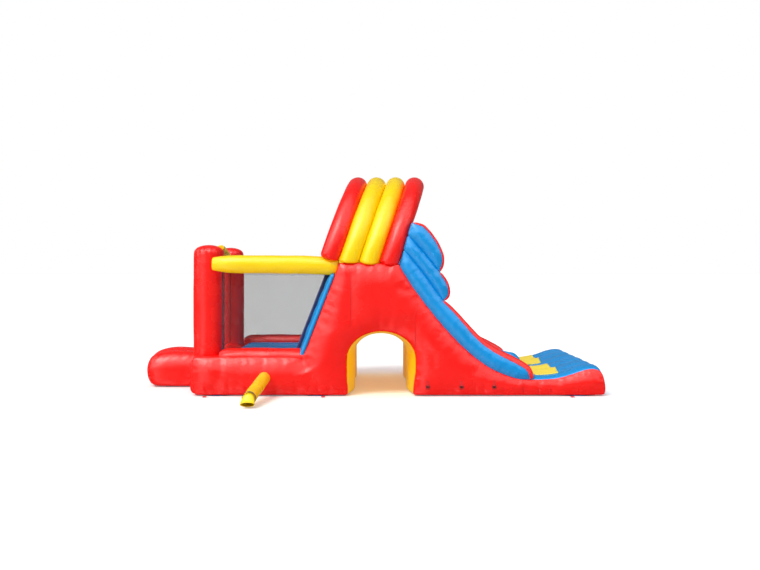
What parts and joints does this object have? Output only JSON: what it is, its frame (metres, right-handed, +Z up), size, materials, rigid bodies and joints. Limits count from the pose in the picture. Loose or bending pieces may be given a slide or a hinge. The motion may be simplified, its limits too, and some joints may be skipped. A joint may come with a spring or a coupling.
{
  "type": "inflatable bounce house",
  "caption": "Inflatable bounce house with netted bounce area, climbing wall, crawl tunnel, arched hood, two-lane slide with side guards, landing mat and inflation sleeve.",
  "frame": {"origin": "on the ground under the middle of the bounce area, on the plane of symmetry", "axes": "+Z up, +X from the entrance towards the slide's landing, -Y the side with the inflation sleeve"},
  "size_m": [5.483, 4.0557, 2.6218],
  "materials": {
    "red_fabric": "satin",
    "yellow_fabric": "satin",
    "blue_fabric": "satin",
    "net_mesh": "matte",
    "ground_fabric": "satin",
    "white_tie_fabric": "matte",
    "black_plastic": "satin",
    "red_webbing": "matte",
    "black_webbing": "matte"
  },
  "bodies": {
    "inflatable": {"base_side_near": "red_fabric", "base_side_far": "red_fabric", "base_entrance": "red_fabric", "post_near": "red_fabric", "post_far": "red_fabric", "entrance_step": "red_fabric", "tower_leg": "red_fabric", "tower_bridge": "red_fabric", "platform_sills": "red_fabric", "hood_tube_1": "red_fabric", "hood_tube_4": "red_fabric", "slide_core": "red_fabric", "landing_base": "red_fabric", "guard_caps": "red_fabric", "side_bar_near": "yellow_fabric", "side_bar_far": "yellow_fabric", "entrance_bar": "yellow_fabric", "tunnel_lining": "yellow_fabric", "hood_tube_2": "yellow_fabric", "hood_tube_3": "yellow_fabric", "landing_patches": "yellow_fabric", "climb_steps": "yellow_fabric", "bounce_floor": "blue_fabric", "climbing_wall": "blue_fabric", "slide_bed": "blue_fabric", "slide_divider": "blue_fabric", "landing_mat": "blue_fabric", "guard_lower_near": "blue_fabric", "guard_lower_far": "blue_fabric", "guard_middle_near": "blue_fabric", "guard_middle_far": "blue_fabric", "guard_upper_near": "blue_fabric", "guard_upper_far": "blue_fabric", "net_near": "net_mesh", "net_far": "net_mesh", "ground_sheet": "ground_fabric", "floor_baffles": "white_tie_fabric", "slide_baffles": "white_tie_fabric", "door_zip_tape": "black_webbing", "deflation_zip_tape": "black_webbing", "climb_handles": "black_webbing", "ring_tabs": "red_webbing"},
    "ring_near_1": {"ring_near_1": "black_plastic"},
    "anchor_near_1": {"anchor_strap_near_1": "red_webbing"},
    "ring_near_2": {"ring_near_2": "black_plastic"},
    "anchor_near_2": {"anchor_strap_near_2": "red_webbing"},
    "ring_near_3": {"ring_near_3": "black_plastic"},
    "anchor_near_3": {"anchor_strap_near_3": "red_webbing"},
    "ring_far_1": {"ring_far_1": "black_plastic"},
    "anchor_far_1": {"anchor_strap_far_1": "red_webbing"},
    "ring_far_2": {"ring_far_2": "black_plastic"},
    "anchor_far_2": {"anchor_strap_far_2": "red_webbing"},
    "ring_far_3": {"ring_far_3": "black_plastic"},
    "anchor_far_3": {"anchor_strap_far_3": "red_webbing"},
    "door": {"entrance_door": "net_mesh"},
    "door_slider": {"door_zip_slider": "black_plastic"},
    "sleeve": {"inflation_sleeve": "yellow_fabric", "sleeve_tie": "black_webbing"},
    "vent_flap": {"deflation_flap": "red_fabric"},
    "vent_slider": {"deflation_zip_slider": "black_plastic"}
  },
  "joints": [
    {"name": "ring_near_1_swing", "type": "hinge", "parent": "inflatable", "child": "ring_near_1", "pos_m": [1.882, -1.46, 0.13], "axis": [-1, 0, 0], "range_deg": [0, 110]},
    {"name": "anchor_near_1_lift", "type": "hinge", "parent": "inflatable", "child": "anchor_near_1", "pos_m": [-0.68, -1.46, 0.009], "axis": [-1, 0, 0], "range_deg": [0, 80]},
    {"name": "ring_near_2_swing", "type": "hinge", "parent": "inflatable", "child": "ring_near_2", "pos_m": [2.27, -1.46, 0.13], "axis": [-1, 0, 0], "range_deg": [0, 110]},
    {"name": "anchor_near_2_lift", "type": "hinge", "parent": "inflatable", "child": "anchor_near_2", "pos_m": [0.68, -1.46, 0.009], "axis": [-1, 0, 0], "range_deg": [0, 80]},
    {"name": "ring_near_3_swing", "type": "hinge", "parent": "inflatable", "child": "ring_near_3", "pos_m": [2.647, -1.46, 0.13], "axis": [-1, 0, 0], "range_deg": [0, 110]},
    {"name": "anchor_near_3_lift", "type": "hinge", "parent": "inflatable", "child": "anchor_near_3", "pos_m": [3.54, -1.46, 0.009], "axis": [-1, 0, 0], "range_deg": [0, 80]},
    {"name": "ring_far_1_swing", "type": "hinge", "parent": "inflatable", "child": "ring_far_1", "pos_m": [1.882, 1.46, 0.13], "axis": [1, 0, 0], "range_deg": [0, 110]},
    {"name": "anchor_far_1_lift", "type": "hinge", "parent": "inflatable", "child": "anchor_far_1", "pos_m": [-0.68, 1.46, 0.009], "axis": [1, 0, 0], "range_deg": [0, 80]},
    {"name": "ring_far_2_swing", "type": "hinge", "parent": "inflatable", "child": "ring_far_2", "pos_m": [2.27, 1.46, 0.13], "axis": [1, 0, 0], "range_deg": [0, 110]},
    {"name": "anchor_far_2_lift", "type": "hinge", "parent": "inflatable", "child": "anchor_far_2", "pos_m": [0.68, 1.46, 0.009], "axis": [1, 0, 0], "range_deg": [0, 80]},
    {"name": "ring_far_3_swing", "type": "hinge", "parent": "inflatable", "child": "ring_far_3", "pos_m": [2.647, 1.46, 0.13], "axis": [1, 0, 0], "range_deg": [0, 110]},
    {"name": "anchor_far_3_lift", "type": "hinge", "parent": "inflatable", "child": "anchor_far_3", "pos_m": [3.54, 1.46, 0.009], "axis": [1, 0, 0], "range_deg": [0, 80]},
    {"name": "door_swing", "type": "hinge", "parent": "inflatable", "child": "door", "pos_m": [-0.68, 0.78, 0.995], "axis": [0, 0, 1], "range_deg": [-100, 0]},
    {"name": "door_zip_slide", "type": "slide", "parent": "inflatable", "child": "door_slider", "axis": [0, 0, -1], "range_m": [0, 0.91]},
    {"name": "sleeve_swing", "type": "hinge", "parent": "inflatable", "child": "sleeve", "pos_m": [0, -1.54, 0.215], "axis": [0, 0, 1], "range_deg": [-20, 20]},
    {"name": "vent_flap_lift", "type": "hinge", "parent": "inflatable", "child": "vent_flap", "pos_m": [0.12, 1.4655, 0.3], "axis": [1, 0, 0], "range_deg": [0, 120]},
    {"name": "vent_zip_slide", "type": "slide", "parent": "inflatable", "child": "vent_slider", "axis": [1, 0, 0], "range_m": [0, 0.165]}
  ]
}
